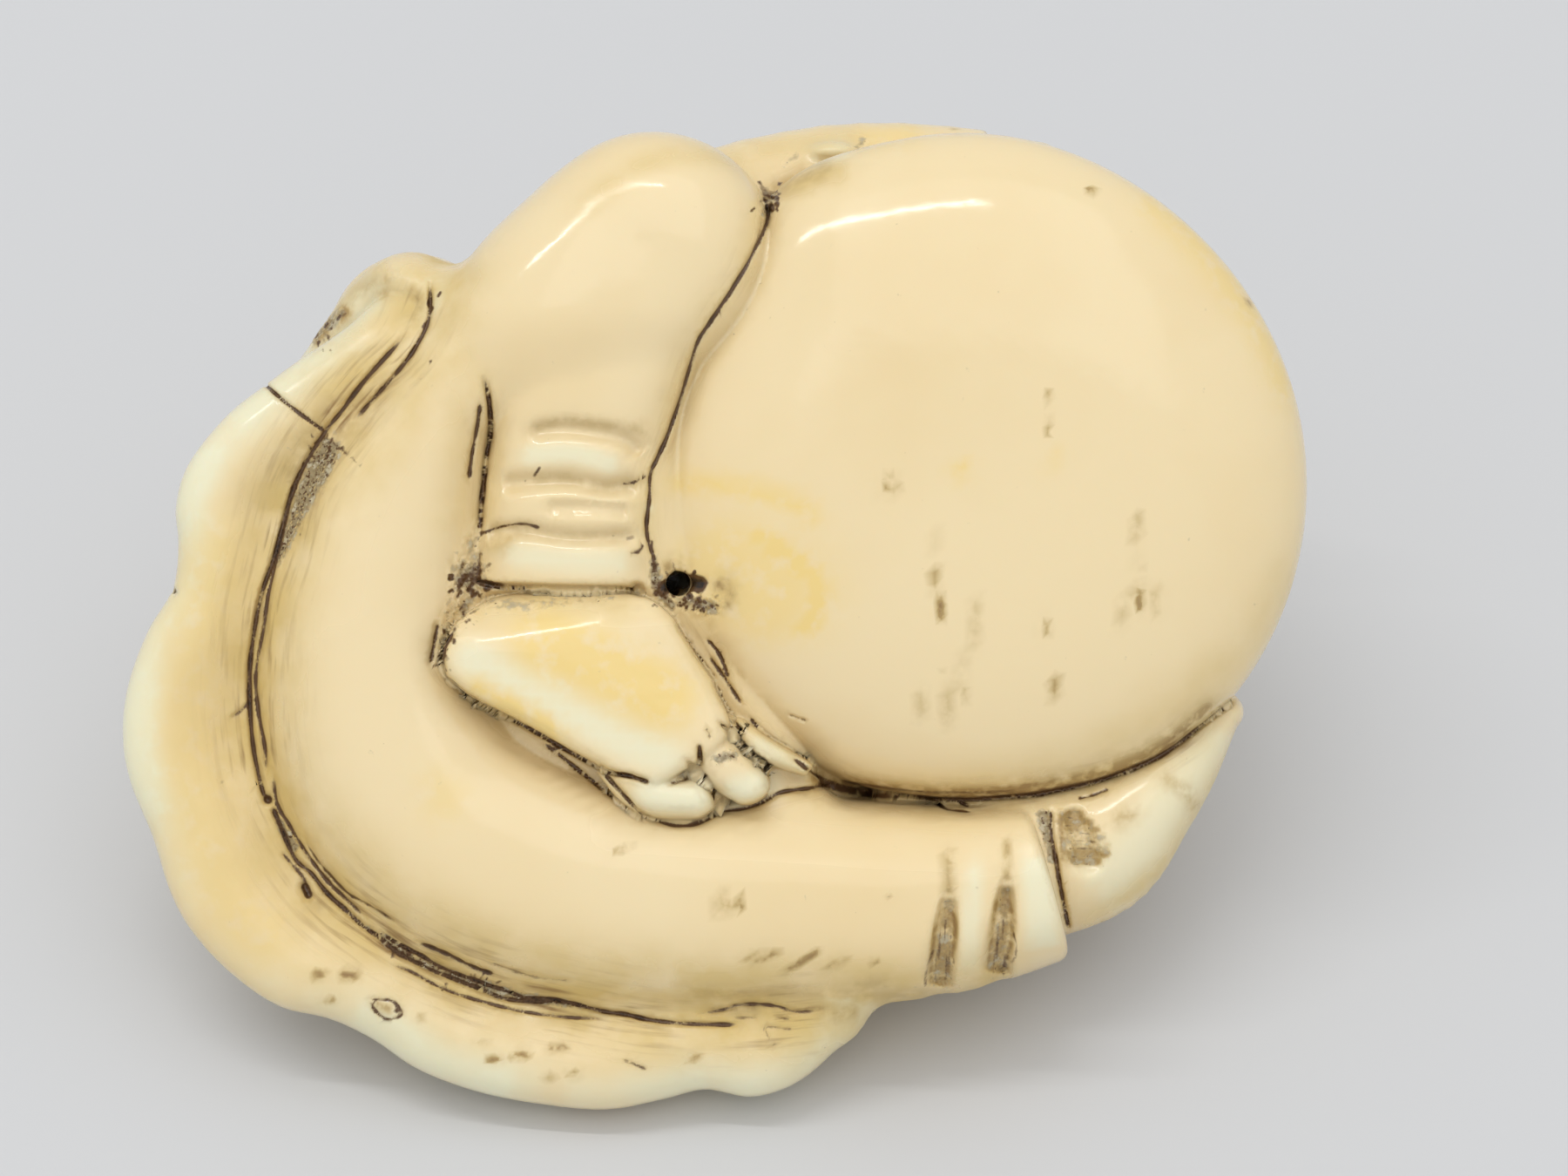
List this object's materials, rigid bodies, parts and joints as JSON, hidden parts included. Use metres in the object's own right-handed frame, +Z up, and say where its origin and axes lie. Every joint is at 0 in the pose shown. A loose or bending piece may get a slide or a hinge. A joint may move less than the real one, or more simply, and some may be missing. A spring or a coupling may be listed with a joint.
{
  "type": "netsuke",
  "caption": "Ivory netsuke of a seated robed figure hugging a round sack, lying on its back with the underside, the crossed legs and the cord hole showing.",
  "frame": {"origin": "centre of the box's underside, on the plane that the carving rests on", "axes": "+X along the carving, from the robe's hem to the sack; +Z up; the underside leans back 45 degrees and faces -Y and +Z"},
  "size_m": [0.0472, 0.0348, 0.0289],
  "materials": {
    "ivory": "polished old ivory: cream, yellowed in the hollows, dark brown in the cuts"
  },
  "bodies": {
    "root": {"netsuke": "ivory"}
  },
  "joints": []
}
